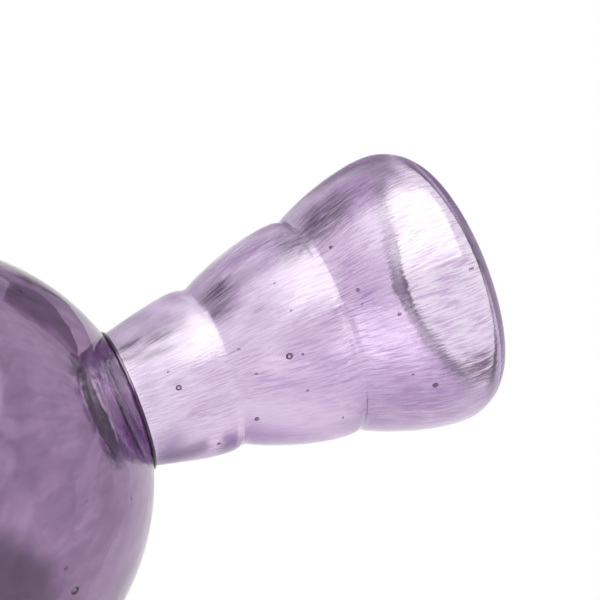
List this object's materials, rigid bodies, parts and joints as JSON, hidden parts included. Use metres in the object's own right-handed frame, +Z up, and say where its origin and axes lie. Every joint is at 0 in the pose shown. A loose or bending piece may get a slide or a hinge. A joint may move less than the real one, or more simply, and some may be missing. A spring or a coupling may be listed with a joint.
{
  "type": "glass bottle",
  "caption": "Hand-blown round glass bottle with a thick globe body, an open neck that swells in tiers and widens to a rounded lip, and a pushed-up base.",
  "frame": {"origin": "centre of the ring that the bottle stands on, at its underside", "axes": "+Z up the axis of the bottle, towards its mouth; X and Y are alike"},
  "size_m": [0.1, 0.1, 0.1706],
  "materials": {
    "globe_glass": "clear dark amethyst, fire-polished, seeded",
    "neck_glass": "clear pale amethyst, fire-polished, seeded, with drawn striae"
  },
  "bodies": {
    "root": {"globe_body": "globe_glass", "tiered_neck": "neck_glass", "root_thread": "globe_glass", "lip_ring": "neck_glass", "pontil_wad": "globe_glass"}
  },
  "joints": []
}
